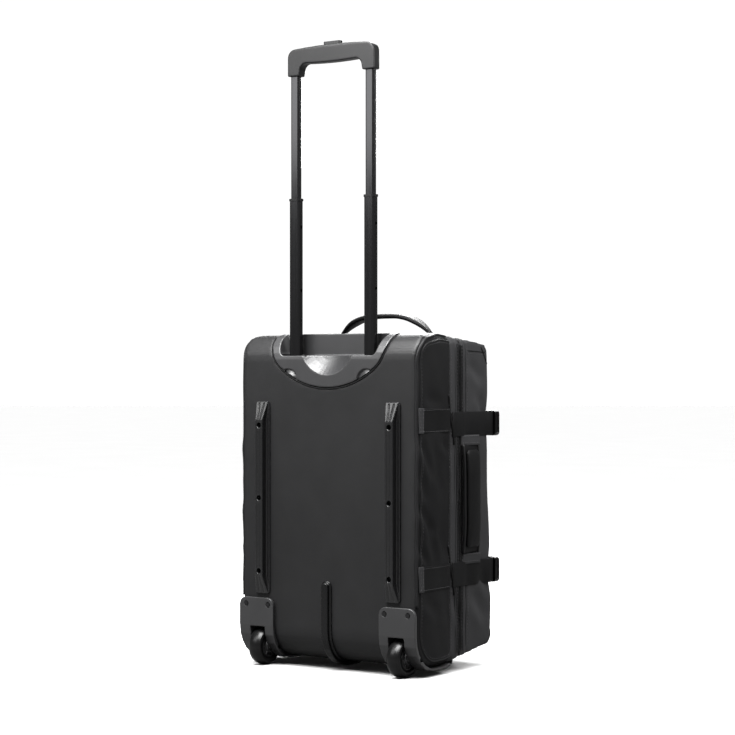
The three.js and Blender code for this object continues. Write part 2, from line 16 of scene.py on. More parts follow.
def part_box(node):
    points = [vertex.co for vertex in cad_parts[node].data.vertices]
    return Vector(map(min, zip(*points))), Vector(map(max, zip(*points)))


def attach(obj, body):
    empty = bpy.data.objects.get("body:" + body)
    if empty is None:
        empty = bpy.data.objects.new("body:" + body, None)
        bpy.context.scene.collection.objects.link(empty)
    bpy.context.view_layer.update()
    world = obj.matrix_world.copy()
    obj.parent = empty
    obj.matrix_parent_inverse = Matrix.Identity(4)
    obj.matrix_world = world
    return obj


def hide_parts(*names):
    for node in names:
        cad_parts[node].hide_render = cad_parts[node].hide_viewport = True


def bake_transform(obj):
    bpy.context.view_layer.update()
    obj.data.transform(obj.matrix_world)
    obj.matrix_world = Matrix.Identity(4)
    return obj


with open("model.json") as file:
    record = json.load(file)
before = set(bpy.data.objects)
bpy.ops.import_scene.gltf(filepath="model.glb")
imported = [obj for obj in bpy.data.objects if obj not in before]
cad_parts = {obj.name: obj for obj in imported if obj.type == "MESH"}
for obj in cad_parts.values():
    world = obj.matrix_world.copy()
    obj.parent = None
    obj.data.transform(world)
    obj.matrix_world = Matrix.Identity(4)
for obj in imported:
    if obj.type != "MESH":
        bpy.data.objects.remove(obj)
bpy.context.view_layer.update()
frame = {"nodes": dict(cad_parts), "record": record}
NODES = frame["nodes"]

# ---- Places taken from the frame ----
MM = 0.001
BOUNCE = 0.3  # how much of the studio's white the bag itself sees
BACKDROP = 1.05
FLOOR_GREY = 0.42
SHELL_LOW, SHELL_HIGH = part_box("rear_shell")
LID_LOW, LID_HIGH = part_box("front_shell")
BACK = SHELL_HIGH.y  # plane of the back panel
HALF = SHELL_HIGH.x / MM  # half of the width
DEPTH = (BACK - LID_LOW.y) / MM
SPLIT = (BACK - (SHELL_LOW.y + LID_HIGH.y) / 2) / MM  # the main zip, ahead of the back panel
BOTTOM = SHELL_LOW.z / MM
TOP_BACK = BOTTOM + 497.5  # where the top panel meets the back panel's corner
SIDES = [("left", 1), ("right", -1)]
BODY_OF = {node: body for body, nodes in frame["record"]["behaviour"]["bodies"].items()
           for node in nodes}
STEEL_NODES = [name for name in NODES if "screw" in name]

# ---- Driving dimensions, in millimetres ----
GUSSET_END = 93  # seam between the rear side panel and the band
LID_SEAM = 138
BACK_CORNER = 38
BASE_CORNER = 50
STRAP_HEIGHTS = {"lower": 148, "upper": 376}
SEWN_STRAP_HEIGHTS = {"lower": 147.5, "upper": 382.5}
RAIL_X = 121.5
RAIL_SCREW_HEIGHTS = (147.5, 260.5, 373)
NOTCH = {"x": 73, "z": 443.2, "r": 17, "depth": 5, "step": 3.4}  # the tray's two notches
POCKETS = {"main": (-128, 186, 128, 336), "upper": (-112, 412, 112, 466)}  # low x, z, high x, z
SEAM_TURNS = (-68, 248)  # from the left side's foot, over the top, to the right side's foot
ZIP_TURNS = (52, 308)  # from the hinge side's top, over the seen side, to its foot
HINGE_TURNS = (-49, 49)
STRAP_WIDTH = 37


def at(x, ahead, z):
    """A point from millimetres: across, ahead of the back panel, and up."""
    return Vector((x * MM, BACK - ahead * MM, z * MM))


# ---- Camera, lights and floor ----
VIEW_TURN = math.radians(34.7)
CAMERA_AT = (-1.83215, BACK + 2.53772, 0.45074)
LENS_MM = 100.85
HORIZON_SHIFT = 0.0102


def make_camera():
    data = bpy.data.cameras.new("camera")
    data.lens = LENS_MM
    data.sensor_width = 36
    data.shift_y = HORIZON_SHIFT
    data.clip_end = 30
    camera = bpy.data.objects.new("camera", data)
    camera.location = CAMERA_AT
    camera.rotation_euler = (math.pi / 2, 0, math.pi + VIEW_TURN)
    bpy.context.scene.collection.objects.link(camera)
    bpy.context.scene.camera = camera


def area_light(name, place, aim, size, power, size_y=None):
    data = bpy.data.lights.new(name, "AREA")
    data.energy = power
    data.size = size
    if size_y:
        data.shape = "RECTANGLE"
        data.size_y = size_y
    light = bpy.data.objects.new(name, data)
    light.location = place
    light.rotation_euler = (Vector(aim) - Vector(place)).to_track_quat("-Z", "Y").to_euler()
    bpy.context.scene.collection.objects.link(light)


def set_inputs(node, **values):
    for key, value in values.items():
        node.inputs[key.replace("_", " ")].default_value = value


def brighten_horizon(tree):
    """A white backdrop, which lights the bag only from low down and more dimly than it looks."""
    background = tree.nodes["Background"]
    direction = tree.nodes.new("ShaderNodeTexCoord")
    split = tree.nodes.new("ShaderNodeSeparateXYZ")
    level = tree.nodes.new("ShaderNodeMath")
    level.operation = "ABSOLUTE"
    fall = tree.nodes.new("ShaderNodeMapRange")
    set_inputs(fall, From_Min=0.22, From_Max=0.30, To_Min=BACKDROP * BOUNCE, To_Max=0.05 * BOUNCE)
    tree.links.new(direction.outputs["Generated"], split.inputs["Vector"])
    tree.links.new(split.outputs["Z"], level.inputs[0])
    tree.links.new(level.outputs[0], fall.inputs["Value"])
    seen = tree.nodes.new("ShaderNodeLightPath")
    backdrop = tree.nodes.new("ShaderNodeMapRange")
    set_inputs(backdrop, To_Max=BACKDROP)
    tree.links.new(seen.outputs["Is Camera Ray"], backdrop.inputs["Value"])
    tree.links.new(fall.outputs["Result"], backdrop.inputs["To Min"])
    tree.links.new(backdrop.outputs["Result"], background.inputs["Strength"])
    set_inputs(background, Color=(1, 1, 1, 1))


def make_studio():
    world = bpy.data.worlds.new("studio")
    bpy.context.scene.world = world
    world.use_nodes = True
    brighten_horizon(world.node_tree)
    bpy.context.scene.view_settings.view_transform = "Standard"
    overhead = bpy.data.lights.new("overhead", "SUN")
    overhead.energy = 7.4
    overhead.angle = math.radians(50)
    lamp = bpy.data.objects.new("overhead", overhead)
    bpy.context.scene.collection.objects.link(lamp)
    middle = (0, 0, 0.4)
    area_light("top_box", (0.05, 0.8, 1.5), (0, 0.1, 0.5), 0.9, 90)
    area_light("left_box", (1.1, 1.6, 1.5), middle, 0.8, 24, 1.2)
    area_light("right_box", (-1.0, -0.2, 1.25), (0, -0.1, 0.4), 0.5, 34, 0.9)
    area_light("front_box", (0.9, -2.0, 1.5), (0, -0.1, 0.3), 1.1, 75)
    bpy.ops.mesh.primitive_plane_add(size=60)
    floor = bpy.context.object
    floor.name = "floor"
    floor.data.materials.append(floor_white())


# ---- Materials ----
COATED_FACE, GUSSET_FACE, BAND_FACE, LINING_FACE = range(4)  # a shell's material indices


class Finish:
    """A procedural material under construction."""

    def __init__(self, name, slot, colour, roughness, **settings):
        self.material = bpy.data.materials.new(name)
        self.material.use_nodes = True
        self.tree = self.material.node_tree
        self.shader = self.tree.nodes["Principled BSDF"]
        set_inputs(self.shader, Base_Color=(*colour, 1), Roughness=roughness, **settings)
        self.coordinates = self.tree.nodes.new("ShaderNodeTexCoord").outputs["Object"]
        self.height = None

    def node(self, kind, **settings):
        made = self.tree.nodes.new(kind)
        for key, value in settings.items():
            if hasattr(made, key):
                setattr(made, key, value)
            else:
                made.inputs[key.replace("_", " ")].default_value = value
        return made

    def link(self, source, target):
        self.tree.links.new(source, target)

    def noise(self, scale, detail=2.0, stretch=None):
        made = self.node("ShaderNodeTexNoise", Scale=scale, Detail=detail)
        if stretch:
            mapping = self.node("ShaderNodeMapping", Scale=stretch)
            self.link(self.coordinates, mapping.inputs["Vector"])
            self.link(mapping.outputs["Vector"], made.inputs["Vector"])
        else:
            self.link(self.coordinates, made.inputs["Vector"])
        return made.outputs["Fac"]

    def blend_colour(self, factor, dark, light):
        ramp = self.node("ShaderNodeValToRGB")
        ramp.color_ramp.elements[0].position = 0.3
        ramp.color_ramp.elements[1].position = 0.7
        ramp.color_ramp.elements[0].color = (*dark, 1)
        ramp.color_ramp.elements[1].color = (*light, 1)
        self.link(factor, ramp.inputs["Fac"])
        self.link(ramp.outputs["Color"], self.shader.inputs["Base Color"])

    def vary_roughness(self, factor, low, high):
        spread = self.node("ShaderNodeMapRange", To_Min=low, To_Max=high)
        self.link(factor, spread.inputs["Value"])
        self.link(spread.outputs["Result"], self.shader.inputs["Roughness"])

    def bump(self, height, strength, distance):
        made = self.node("ShaderNodeBump", Strength=strength, Distance=distance)
        self.link(height, made.inputs["Height"])
        if self.height:
            self.link(self.height, made.inputs["Normal"])
        self.height = made.outputs["Normal"]
        self.link(self.height, self.shader.inputs["Normal"])

    def weave(self, threads_per_metre, strength, distance):
        """Three crossed thread patterns, of which any surface shows two."""
        total = None
        for direction in "XYZ":
            wave = self.node("ShaderNodeTexWave", bands_direction=direction,
                             Scale=threads_per_metre, Distortion=0.6, Detail=1.0)
            self.link(self.coordinates, wave.inputs["Vector"])
            if total:
                join = self.node("ShaderNodeMath", operation="ADD")
                self.link(total, join.inputs[0])
                self.link(wave.outputs["Fac"], join.inputs[1])
                total = join.outputs[0]
            else:
                total = wave.outputs["Fac"]
        self.bump(total, strength, distance)


def shades(grey, spread, tint=(1, 1, 1.04)):
    """A darker and a lighter colour around a grey."""
    return [tuple(grey * factor * part for part in tint) for factor in (1 - spread, 1 + spread)]


def floor_white():
    finish = Finish("floor_white", None, (FLOOR_GREY,) * 3, 0.9, Specular_IOR_Level=0.1)
    finish.blend_colour(finish.noise(3), (0.415, 0.415, 0.415), (0.425, 0.425, 0.425))
    dim = FLOOR_GREY * BOUNCE
    dark = finish.node("ShaderNodeBsdfDiffuse", Color=(dim, dim, dim, 1))
    choice = finish.node("ShaderNodeMixShader")
    finish.link(finish.node("ShaderNodeLightPath").outputs["Is Camera Ray"], choice.inputs[0])
    finish.link(dark.outputs[0], choice.inputs[1])
    finish.link(finish.tree.nodes["Principled BSDF"].outputs[0], choice.inputs[2])
    finish.link(choice.outputs[0], finish.tree.nodes["Material Output"].inputs["Surface"])
    return finish.material


def fabric(name, slot, grey, roughness, threads=160, gloss=0.1, spread=0.12):
    finish = Finish(name, slot, (grey, grey, grey), roughness,
                    Specular_IOR_Level=gloss)
    finish.blend_colour(finish.noise(14, 5), *shades(grey, spread))
    finish.vary_roughness(finish.noise(30, 3), roughness - 0.06, roughness + 0.06)
    finish.bump(finish.noise(36, 4), 0.25, 0.0012)
    finish.weave(threads, 0.22, 0.0002)
    return finish.material


def plastic(name, slot, grey, roughness, grain=900, gloss=0.2):
    finish = Finish(name, slot, (grey, grey, grey), roughness, Specular_IOR_Level=gloss)
    finish.blend_colour(finish.noise(22, 4), *shades(grey, 0.08))
    finish.vary_roughness(finish.noise(60, 3), roughness - 0.05, roughness + 0.05)
    finish.bump(finish.noise(grain, 2), 0.12, 0.00025)
    return finish.material


def metal(name, slot, grey, roughness, brush=(300, 300, 4)):
    finish = Finish(name, slot, (grey, grey, grey), roughness, Metallic=0.9)
    finish.blend_colour(finish.noise(1, 3, brush), *shades(grey, 0.1))
    finish.vary_roughness(finish.noise(1, 3, brush), roughness - 0.05, roughness + 0.07)
    return finish.material


def rubber(name, slot, grey):
    finish = Finish(name, slot, (grey, grey, grey), 0.3, Specular_IOR_Level=0.2)
    finish.blend_colour(finish.noise(50, 4), *shades(grey, 0.15))
    finish.vary_roughness(finish.noise(80, 3), 0.22, 0.4)
    finish.bump(finish.noise(500, 2), 0.1, 0.0003)
    return finish.material


COATED = fabric("coated_fabric", "coated_fabric", 0.0075, 0.42, threads=220, gloss=0.2)
DARK_NYLON = fabric("gusset_nylon", "nylon", 0.006, 0.5, gloss=0.05)
BAND_NYLON = fabric("band_nylon", "nylon", 0.020, 0.55, gloss=0.06)
LINING = fabric("lining", "nylon", 0.05, 0.7, threads=240)
WEBBING = fabric("webbing", "webbing", 0.004, 0.5, threads=320, gloss=0.06)
PIPING = fabric("piping_cloth", "coated_fabric", 0.008, 0.4, threads=300)
# Painted shade: a near-black cord material laid into seams, grooves and folds to stand for the shadow in
# them.
SEAM_SHADE = fabric("seam_shadow", "nylon", 0.003, 0.85)
THREAD = fabric("stitch_thread", "nylon", 0.045, 0.6, threads=500)
GREY_PLASTIC = plastic("grey_plastic", "grey_plastic", 0.015, 0.38, gloss=0.42)
RAIL_PLASTIC = plastic("rail_plastic", "rail_plastic", 0.006, 0.22, gloss=0.35)
BLACK_PLASTIC = plastic("black_plastic", "black_plastic", 0.003, 0.26, gloss=0.2)
GRIP_PLASTIC = plastic("grip_plastic", "grip_plastic", 0.004, 0.36, gloss=0.18)
BUCKLE_PLASTIC = plastic("buckle_plastic", "buckle_plastic", 0.0015, 0.22, gloss=0.2)
TUBE_BLACK = metal("tube_black", "tube_black", 0.024, 0.16)
BARE_METAL = metal("bare_metal", "bare_metal", 0.45, 0.3)
SCREW_STEEL = metal("screw_steel", "screw_steel", 0.025, 0.35, (400, 400, 400))
ZIP_METAL = metal("zip_metal", "zip_metal", 0.05, 0.4, (400, 400, 400))
TYRE_RUBBER = rubber("tyre_rubber", "tyre_rubber", 0.0025)


# ---- Making pieces ----

def finish_piece(piece, material, body, replaced=()):
    piece.data.materials.clear()
    piece.data.materials.append(material)
    if body:
        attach(piece, body)
    if replaced:
        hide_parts(*replaced)
    return piece


def shade_smooth(mesh):
    for polygon in mesh.polygons:
        polygon.use_smooth = True


def face_outward(mesh):
    shape = bmesh.new()
    shape.from_mesh(mesh)
    bmesh.ops.recalc_face_normals(shape, faces=shape.faces)
    shape.to_mesh(mesh)
    shape.free()


def new_object(name, mesh):
    shade_smooth(mesh)
    piece = bpy.data.objects.new(name, mesh)
    bpy.context.scene.collection.objects.link(piece)
    return piece


def mesh_piece(name, points, faces, material, body, replaced=()):
    mesh = bpy.data.meshes.new(name)
    mesh.from_pydata([tuple(point) for point in points], [], faces)
    face_outward(mesh)
    return finish_piece(new_object(name, mesh), material, body, replaced)


def bevel(piece, width_mm, segments=3, angle=32):
    """Rounds a piece's sharp edges, after flat areas lose their inner edges."""
    flat = piece.modifiers.new("flat", "DECIMATE")
    flat.decimate_type = "DISSOLVE"
    flat.angle_limit = math.radians(2)
    edge = piece.modifiers.new("edge", "BEVEL")
    edge.width = width_mm * MM
    edge.segments = segments
    edge.limit_method = "ANGLE"
    edge.angle_limit = math.radians(angle)
    edge.harden_normals = True
    shade_smooth(piece.data)


def applied(piece):
    """The piece with its modifiers applied."""
    graph = bpy.context.evaluated_depsgraph_get()
    mesh = bpy.data.meshes.new_from_object(piece.evaluated_get(graph))
    piece.modifiers.clear()
    piece.data = mesh
    return piece


def remeshed(name, node, voxel_mm, smoothing):
    """A fine copy of a CAD node with softly rounded edges."""
    piece = new_object(name, NODES[node].data.copy())
    remesh = piece.modifiers.new("fine", "REMESH")
    remesh.mode = "VOXEL"
    remesh.voxel_size = voxel_mm * MM
    remesh.use_smooth_shade = True
    if smoothing:
        smooth = piece.modifiers.new("soft", "SMOOTH")
        smooth.iterations = smoothing
        smooth.factor = 0.5
    return applied(piece)


def thicken(piece, thickness_mm, offset, smoothing=0):
    """Gives a thin sheet its thickness."""
    thick = piece.modifiers.new("thick", "SOLIDIFY")
    thick.thickness = thickness_mm * MM
    thick.offset = offset
    if smoothing:
        piece.modifiers.new("soft", "SMOOTH").iterations = smoothing
    applied(piece)
    shade_smooth(piece.data)


def coordinates(piece):
    points = np.empty(len(piece.data.vertices) * 3)
    piece.data.vertices.foreach_get("co", points)
    return points.reshape(-1, 3)


def set_coordinates(piece, points):
    piece.data.vertices.foreach_set("co", points.ravel())
    piece.data.update()


def grid_faces(rows, wide):
    """The faces between points given row by row."""
    corners = [i * wide + j for i in range(rows - 1) for j in range(wide - 1)]
    return [(first, first + 1, first + wide + 1, first + wide) for first in corners]


def circle(radius_mm, sides=10):
    turns = [2 * math.pi * i / sides for i in range(sides)]
    return [(radius_mm * math.cos(turn), radius_mm * math.sin(turn)) for turn in turns]


def band(width_mm, thickness_mm):
    """The section of a flat strap whose edges are slightly thicker than its middle."""
    half, t = width_mm / 2, thickness_mm / 2
    return [(-half, -t * 0.5), (-half, t * 0.7), (-half + t, t * 1.1), (-half + 2.5 * t, t),
            (half - 2.5 * t, t), (half - t, t * 1.1), (half, t * 0.7), (half, -t * 0.5),
            (half - t, -t), (-half + t, -t)]


def sweep(name, path, normals, section, material, body, closed=False, replaced=(), scales=None):
    """Carries a section along a path. Its second axis follows the normals."""
    points, faces = [], []
    count, sides = len(path), len(section)
    for i, (place, normal) in enumerate(zip(path, normals)):
        before = path[i - 1] if i or closed else place
        after = path[(i + 1) % count] if closed or i < count - 1 else place
        along = (after - before).normalized()
        up = (normal - along * normal.dot(along)).normalized()
        across = up.cross(along)
        wide, high = scales[i] if scales else (1, 1)
        points += [place + (across * u * wide + up * v * high) * MM for u, v in section]
    for i in range(count if closed else count - 1):
        row, following = i * sides, (i + 1) % count * sides
        for j in range(sides):
            k = (j + 1) % sides
            faces.append((row + j, row + k, following + k, following + j))
    if not closed:
        faces.append(tuple(range(sides)))
        faces.append(tuple(range((count - 1) * sides, count * sides)))
    return mesh_piece(name, points, faces, material, body, replaced)


def smoothed(values, rounds=2):
    """A path or its normals with small jitter averaged out."""
    for _ in range(rounds):
        values = [values[0]] + [
            (values[i - 1] + values[i] * 2 + values[i + 1]) / 4 for i in range(1, len(values) - 1)
        ] + [values[-1]]
    return values


def dense(points, step_mm=4):
    """A polyline of tuples with points added every step."""
    result = []
    for start, end in zip(points, points[1:]):
        length = math.dist(start, end)
        parts = max(1, round(length / step_mm))
        result += [tuple(a + (b - a) * i / parts for a, b in zip(start, end)) for i in range(parts)]
    return result + [points[-1]]


# ---- The soft body ----

def ramp(value, low, high):
    part = np.clip((value - low) / (high - low), 0, 1)
    return part * part * (3 - 2 * part)


def hump(value, low, high):
    part = np.clip((value - low) / (high - low), 0, 1)
    return 4 * part * (1 - part)


def near(value, middle, width):
    return np.exp(-((value - middle) / width) ** 2)


# Creases on a side panel: from (ahead, z) to (ahead, z), depth, width.
CREASES = [
    (10, 358, 46, 290, 1.7, 5), (40, 360, 74, 250, 1.2, 6), (12, 300, 30, 256, 1.0, 4),
    (70, 352, 90, 334, 1.2, 5), (8, 258, 44, 212, 1.5, 5), (30, 232, 50, 172, 1.1, 6),
    (62, 226, 84, 170, 1.6, 7), (8, 196, 30, 170, 1.2, 4), (100, 350, 112, 240, 0.9, 4),
    (20, 418, 76, 408, 1.0, 6), (14, 122, 60, 96, 1.0, 6), (170, 170, 196, 110, 1.4, 7),
    (150, 120, 190, 70, 1.2, 7), (172, 420, 194, 380, 1.2, 6), (146, 470, 186, 440, 1.0, 6),
    (100, 120, 124, 60, 1.1, 5),
]


def crease_depth(ahead, z):
    total = np.zeros_like(ahead)
    for a0, z0, a1, z1, depth, width in CREASES:
        length = math.hypot(a1 - a0, z1 - z0)
        along = ((ahead - a0) * (a1 - a0) + (z - z0) * (z1 - z0)) / length
        side = ((ahead - a0) * (z1 - z0) - (z - z0) * (a1 - a0)) / length
        reach = ramp(along, -8, length * 0.3) * (1 - ramp(along, length * 0.6, length + 8))
        spread = 1.7 * width
        ridge = near(side, 2.6 * width, spread)
        total += 2.1 * depth * reach * (near(side, 0, spread) - 0.6 * ridge)
    return total


def sag(points):
    """Moves points of the plain CAD shells to where the filled fabric lies."""
    x = points[:, 0] / MM
    ahead = (BACK - points[:, 1]) / MM
    z = points[:, 2] / MM
    sideways = ramp(np.abs(x), HALF - 30, HALF - 4)
    strapped = sum(near(z, height, 22) for height in SEWN_STRAP_HEIGHTS.values())
    rear_panel = hump(ahead, 4, GUSSET_END) * (3.2 - 2.4 * strapped)
    middle_band = hump(ahead, GUSSET_END, LID_SEAM) * 1.2
    lid_panel = hump(ahead, LID_SEAM - 2, DEPTH + 14) * (3.0 - 2.2 * strapped)
    low_front = ramp(ahead, 120, 200) * (1 - ramp(z, 90, 300)) * 4.5
    ends = hump(z, BOTTOM, TOP_BACK) ** 0.35
    out_x = (rear_panel + middle_band + lid_panel + low_front) * ends
    out_x -= crease_depth(ahead, z)
    out_x += 0.5 * np.sin(z * 0.061 + ahead * 0.05) * np.sin(ahead * 0.09 + 0.7)
    forward = ramp(ahead, DEPTH - 34, DEPTH - 6)
    puff = 2.5 + 5.5 * (1 - ramp(z, 60, 330)) + 1.6 * np.sin(z * 0.024 + 0.8) * np.sin(x * 0.019 + 0.5)
    buckled = sum(near(z, height, 30) for height in STRAP_HEIGHTS.values()) * ramp(np.abs(x), 78, 96)
    out_front = puff * forward * ramp(z, BOTTOM, 60) * (1 - 0.85 * buckled)
    upward = ramp(z, TOP_BACK - 26, TOP_BACK - 4) * ramp(ahead, 30, 60)
    out_top = upward * (0.8 * np.sin(x * 0.031 + 0.4) * np.sin(ahead * 0.05) - 0.6)
    for seam in (GUSSET_END, LID_SEAM):
        groove = near(ahead, seam, 2.6) * 1.3
        out_x -= groove
        out_top -= groove * upward
    moved = points.copy()
    moved[:, 0] += np.sign(x) * out_x * sideways * MM
    moved[:, 1] -= out_front * MM
    moved[:, 2] += out_top * MM
    return moved


def cut_across(piece, aheads):
    """Cuts edges into the mesh along planes that many millimetres ahead of the back."""
    shape = bmesh.new()
    shape.from_mesh(piece.data)
    for ahead in aheads:
        bmesh.ops.bisect_plane(
            shape, geom=shape.verts[:] + shape.edges[:] + shape.faces[:], dist=1e-6,
            plane_co=at(0, ahead, 0), plane_no=(0, 1, 0))
    shape.to_mesh(piece.data)
    shape.free()


def paint_regions(piece):
    """Gives each face of a shell the fabric of the panel that it lies in."""
    mesh = piece.data
    mesh.materials.clear()
    for material in (COATED, DARK_NYLON, BAND_NYLON, LINING):
        mesh.materials.append(material)
    count = len(mesh.polygons)
    centres, normals = np.empty(count * 3), np.empty(count * 3)
    mesh.polygons.foreach_get("center", centres)
    mesh.polygons.foreach_get("normal", normals)
    centres, normals = centres.reshape(-1, 3), normals.reshape(-1, 3)
    core_low = np.array(at(-HALF + 40, DEPTH - 40, BOTTOM + 50))
    core_high = np.array(at(HALF - 40, 40, TOP_BACK - 50))
    outward = ((centres - np.clip(centres, core_low, core_high)) * normals).sum(axis=1) > 0
    ahead = (BACK - centres[:, 1]) / MM
    sideways = np.abs(normals[:, 0]) > 0.62
    upward = np.abs(normals[:, 2]) > 0.62
    region = np.full(count, COATED_FACE, dtype=np.int32)
    region[(ahead < GUSSET_END) & sideways] = GUSSET_FACE
    region[ahead >= GUSSET_END] = BAND_FACE
    region[(ahead >= LID_SEAM) & upward] = GUSSET_FACE
    region[~outward] = LINING_FACE
    mesh.polygons.foreach_set("material_index", region)
    shade_smooth(mesh)


def soft_shell(name, node, body, cuts):
    piece = remeshed(name, node, 3, 3)
    cut_across(piece, cuts)
    set_coordinates(piece, sag(coordinates(piece)))
    paint_regions(piece)
    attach(piece, body)
    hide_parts(node)
    return piece


def surface_of(piece):
    mesh = piece.data
    return BVHTree.FromPolygons(
        [v.co for v in mesh.vertices], [list(p.vertices) for p in mesh.polygons])


REAR = soft_shell("rear_fabric", "rear_shell", "rear", [GUSSET_END])
LID = soft_shell("lid_fabric", "front_shell", "lid", [LID_SEAM])
SURFACES = {"rear": surface_of(REAR), "lid": surface_of(LID)}


def shell_at(ahead):
    return "rear" if ahead < SPLIT else "lid"


def on_side(side, route, lift=0.0, body=None):
    """A route of (ahead, z) laid on a side of the bag: its points and the fabric's normals."""
    points, normals = [], []
    for ahead, z in route:
        tree = SURFACES[body or shell_at(ahead)]
        place, normal, _, _ = tree.ray_cast(at(side * (HALF + 60), ahead, z), Vector((-side, 0, 0)))
        if place is None:
            continue
        points.append(place + normal * lift * MM)
        normals.append(normal)
    return smoothed(points), smoothed(normals, 4)


def on_front(route, lift=0.0):
    """A route of (x, z) laid on the lid's front: its points and the fabric's normals."""
    points, normals = [], []
    for x, z in route:
        place, normal, _, _ = SURFACES["lid"].ray_cast(at(x, DEPTH + 60, z), Vector((0, 1, 0)))
        if place is not None:
            points.append(place + normal * lift * MM)
            normals.append(normal)
    return points, normals


def ring(ahead, first_turn, last_turn, lift=0.0, body=None, step_mm=4):
    """A path round the bag at one distance from its back, between two turns in degrees.

    Turn 0 is the left side's middle, 90 the top and 180 the right side's middle.
    """
    tree = SURFACES[body or shell_at(ahead)]
    centre = at(0, ahead, (BOTTOM + TOP_BACK) / 2)
    hits = []
    for i in range(721):
        turn = math.radians(first_turn + (last_turn - first_turn) * i / 720)
        out = Vector((math.cos(turn), 0, math.sin(turn)))
        place, normal, _, _ = tree.ray_cast(centre + out * 0.6, -out)
        if place is not None:
            hits.append((place, normal))
    points, normals, last = [], [], None
    for place, normal in hits:
        if last is None or (place - last).length >= step_mm * MM:
            flat = Vector((normal.x, 0, normal.z)).normalized()
            points.append(place + flat * lift * MM)
            normals.append(flat)
            last = place
    return smoothed(points, 3), smoothed(normals, 5)


# ---- Moulded plastic ----

def softened(node, voxel_mm, smoothing, material, body, shape=None):
    """Replaces a moulded CAD node by a fine copy with soft edges, reshaped by a function."""
    piece = remeshed(f"{node}_moulded", node, voxel_mm, smoothing)
    if shape:
        set_coordinates(piece, shape(coordinates(piece)))
    return finish_piece(piece, material, body, [node])


def shifted(points, axis, amounts_mm):
    moved = points.copy()
    moved[:, axis] += amounts_mm * MM
    return moved


def slanted_notches(points):
    """Turns the tray's two notches into facets that step in at their top and slant up to its edge."""
    x, z = np.abs(points[:, 0]) / MM, points[:, 2] / MM
    away = np.hypot(x - NOTCH["x"], z - NOTCH["z"])
    proud = (points[:, 1] - BACK) / MM
    inside = ramp(-away, -NOTCH["r"] - 0.4, -NOTCH["r"] + 0.4) * ramp(proud, -4.2, -3)
    dished = NOTCH["depth"] * (1 - (away / NOTCH["r"]) ** 2)
    return shifted(points, 1, inside * (dished - NOTCH["step"] * ramp(away, 8, NOTCH["r"] - 1)))


def grooved_rail(side):
    """Two lengthwise grooves down a rail's ridge, which leave three ribs."""
    def shape(points):
        across = np.abs(points[:, 0] / MM - side * RAIL_X)
        proud = (points[:, 1] - BACK) / MM
        up = points[:, 2] / MM
        spread = 2.5 + 2.0 * np.maximum(ramp(up, 384, 410), 1 - ramp(up, 112, 136))
        groove = near(across, spread, 0.9) * ramp(proud, 2.8, 3.6) * ramp(up, 113, 116)
        groove *= 1 - ramp(up, 406, 409)
        for height in RAIL_SCREW_HEIGHTS:
            groove *= 1 - near(up, height, 6)
        return shifted(points, 1, -groove * 1.1)
    return shape


def crowned_grip(points):
    """Rounds the crossbar's underside into a shallow belly for the fingers."""
    x, z = points[:, 0] / MM, points[:, 2] / MM
    belly = hump(x, -52, 52) * ramp(-z, -940, -930) * ramp(z, 925, 930)
    return shifted(points, 2, -belly * 1.8)


def make_moulded_parts():
    softened("trolley_tray", 0.8, 6, GREY_PLASTIC, "rear", slanted_notches)
    softened("bottom_runner", 0.8, 6, BLACK_PLASTIC, "rear")
    softened("grip", 0.9, 14, GRIP_PLASTIC, "upper_stage", crowned_grip)
    for label, side in SIDES:
        softened(f"skid_rail_{label}", 0.9, 2, RAIL_PLASTIC, "rear", grooved_rail(side))
        softened(f"wheel_housing_{label}", 0.9, 6, GREY_PLASTIC, "rear")


def dress_node(name, material, edge_mm=0.5):
    node = NODES[name]
    node.data.materials.clear()
    node.data.materials.append(material)
    bevel(node, edge_mm)


def dress_nodes():
    dress_node("frame_board", BLACK_PLASTIC)
    dress_node("sleeve_bracket", BLACK_PLASTIC)
    dress_node("grip_button", BLACK_PLASTIC, 0.8)
    dress_node("release_bar", BARE_METAL)
    for name in STEEL_NODES:
        dress_node(name, SCREW_STEEL, 0.4)
    for label, _ in SIDES:
        dress_node(f"sleeve_{label}", BARE_METAL, 0.2)
        dress_node(f"middle_tube_{label}", TUBE_BLACK, 0.2)
        dress_node(f"upper_tube_{label}", TUBE_BLACK, 0.2)
        dress_node(f"middle_collar_{label}", BLACK_PLASTIC, 0.6)
        dress_node(f"push_rod_{label}", BARE_METAL, 0.2)
        dress_node(f"axle_{label}", BARE_METAL, 0.4)
        dress_node(f"front_foot_{label}", BLACK_PLASTIC, 1.0)
    for number in (1, 2):
        dress_node(f"zip_slider_{number}", ZIP_METAL, 0.4)


# ---- Wheels ----

def lathe(name, centre, profile, material, body, replaced=(), turns=72):
    """A closed profile of (radius, x) in millimetres turned about the axle's line."""
    points, faces = [], []
    count = len(profile)
    for i in range(turns):
        turn = 2 * math.pi * i / turns
        for radius, x in profile:
            spoke = Vector((x, radius * math.cos(turn), radius * math.sin(turn)))
            points.append(centre + spoke * MM)
        for j in range(count):
            k = (j + 1) % count
            row, following = i * count, (i + 1) % turns * count
            faces.append((row + j, following + j, following + k, row + k))
    return mesh_piece(name, points, faces, material, body, replaced)


def rounded_profile(corners, steps=5):
    """A closed profile whose corners (radius, x, rounding) become short curves."""
    result = []
    for i, (r, x, rounding) in enumerate(corners):
        before, after = corners[i - 1], corners[(i + 1) % len(corners)]
        here = Vector((r, x))
        start = here + (Vector(before[:2]) - here).normalized() * rounding
        end = here + (Vector(after[:2]) - here).normalized() * rounding
        for j in range(steps + 1):
            t = j / steps
            result.append(tuple(start * (1 - t) ** 2 + here * 2 * t * (1 - t) + end * t ** 2))
    return result


